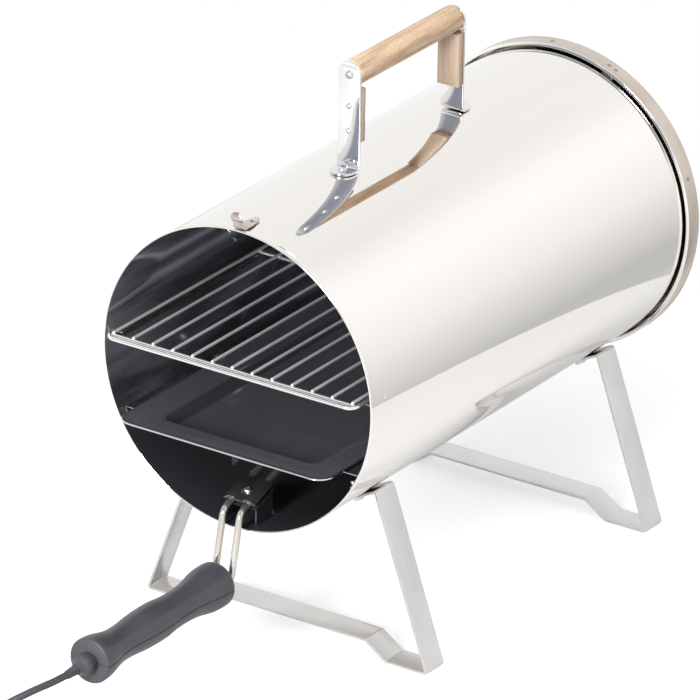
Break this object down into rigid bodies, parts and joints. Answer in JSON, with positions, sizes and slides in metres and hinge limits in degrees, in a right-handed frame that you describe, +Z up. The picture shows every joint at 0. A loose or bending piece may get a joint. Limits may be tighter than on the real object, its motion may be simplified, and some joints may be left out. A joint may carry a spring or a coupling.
{
  "type": "electric barrel smoker",
  "caption": "Horizontal polished-steel barrel smoker on bent strip legs, with a top handle, grate, drip tray, lift-off lid and a slide-in electric heater with its cord.",
  "frame": {"origin": "On the floor, under the middle of the object's box without its free cord: x = 0 is the barrel's middle plane.", "axes": "+Z up; +Y along the barrel, from its open mouth to the end that the lid stands on; X across the barrel, along which the legs spread."},
  "size_m": [0.3894, 0.9715, 0.5323],
  "materials": {
    "polished_steel": "mirror-polished stainless sheet",
    "cord_rubber": "rubber-sheathed mains lead",
    "black_plastic": "moulded heat-resistant plastic, fine matt texture",
    "dark_steel": "dark glossy enamelled sheet",
    "heated_steel": "drawn stainless tube and sheet with a straw heat tint",
    "brushed_steel": "finely brushed stainless strip and sheet",
    "bright_steel": "bright plated steel fasteners and wire",
    "beech": "turned and sanded beech",
    "ceramic": "fired ceramic terminal block"
  },
  "bodies": {
    "smoker_body": {"barrel_shell": "polished_steel", "grate_rail_left": "brushed_steel", "grate_rail_right": "brushed_steel", "handle_foot_screw_front": "bright_steel", "handle_foot_screw_rear": "bright_steel", "handle_grip": "beech", "handle_grip_screw_front": "bright_steel", "handle_grip_screw_rear": "bright_steel", "handle_pad_front": "beech", "handle_pad_rear": "beech", "handle_pad_rivet_front_1": "bright_steel", "handle_pad_rivet_front_2": "bright_steel", "handle_pad_rivet_rear_1": "bright_steel", "handle_pad_rivet_rear_2": "bright_steel", "handle_upright_front": "bright_steel", "handle_upright_rear": "bright_steel", "latch_hook": "bright_steel", "latch_rivet": "bright_steel", "leg_bolt_front_left": "bright_steel", "leg_bolt_front_right": "bright_steel", "leg_bolt_rear_left": "bright_steel", "leg_bolt_rear_right": "bright_steel", "leg_frame_front": "brushed_steel", "leg_frame_rear": "brushed_steel", "leg_nut_front_left": "bright_steel", "leg_nut_front_right": "bright_steel", "leg_nut_rear_left": "bright_steel", "leg_nut_rear_right": "bright_steel", "rear_end_plate": "polished_steel", "tray_rail_left": "brushed_steel", "tray_rail_right": "brushed_steel"},
    "lid": {"lid_clip_1": "brushed_steel", "lid_clip_2": "brushed_steel", "lid_clip_3": "brushed_steel", "lid_disc": "brushed_steel", "lid_hoop": "brushed_steel", "lid_knob": "beech", "lid_knob_screw": "brushed_steel"},
    "grate": {"grill_grate": "bright_steel"},
    "tray": {"drip_tray": "dark_steel"},
    "heater": {"cord_gland": "black_plastic", "element_foot_rear": "heated_steel", "heater_clamp_nut": "bright_steel", "heater_clamp_plate": "heated_steel", "heater_clamp_screw": "bright_steel", "heater_clamp_seat": "heated_steel", "heater_grip_bottom": "black_plastic", "heater_grip_screw_1": "bright_steel", "heater_grip_screw_2": "bright_steel", "heater_grip_top": "black_plastic", "heating_element": "heated_steel", "terminal_block": "ceramic", "power_cord": "cord_rubber", "cord_coil": "cord_rubber", "plug_body": "black_plastic", "plug_pin_left": "bright_steel", "plug_pin_right": "bright_steel"}
  },
  "joints": [
    {"name": "lid_slide", "type": "slide", "parent": "smoker_body", "child": "lid", "axis": [0, 1, 0], "range_m": [0, 0.12]},
    {"name": "grate_slide", "type": "slide", "parent": "smoker_body", "child": "grate", "axis": [0, -1, 0], "range_m": [-0.022, 0.49]},
    {"name": "tray_slide", "type": "slide", "parent": "smoker_body", "child": "tray", "axis": [0, -1, 0], "range_m": [-0.034, 0.43]},
    {"name": "heater_slide", "type": "slide", "parent": "smoker_body", "child": "heater", "axis": [0, -1, 0], "range_m": [0, 0.38]}
  ]
}
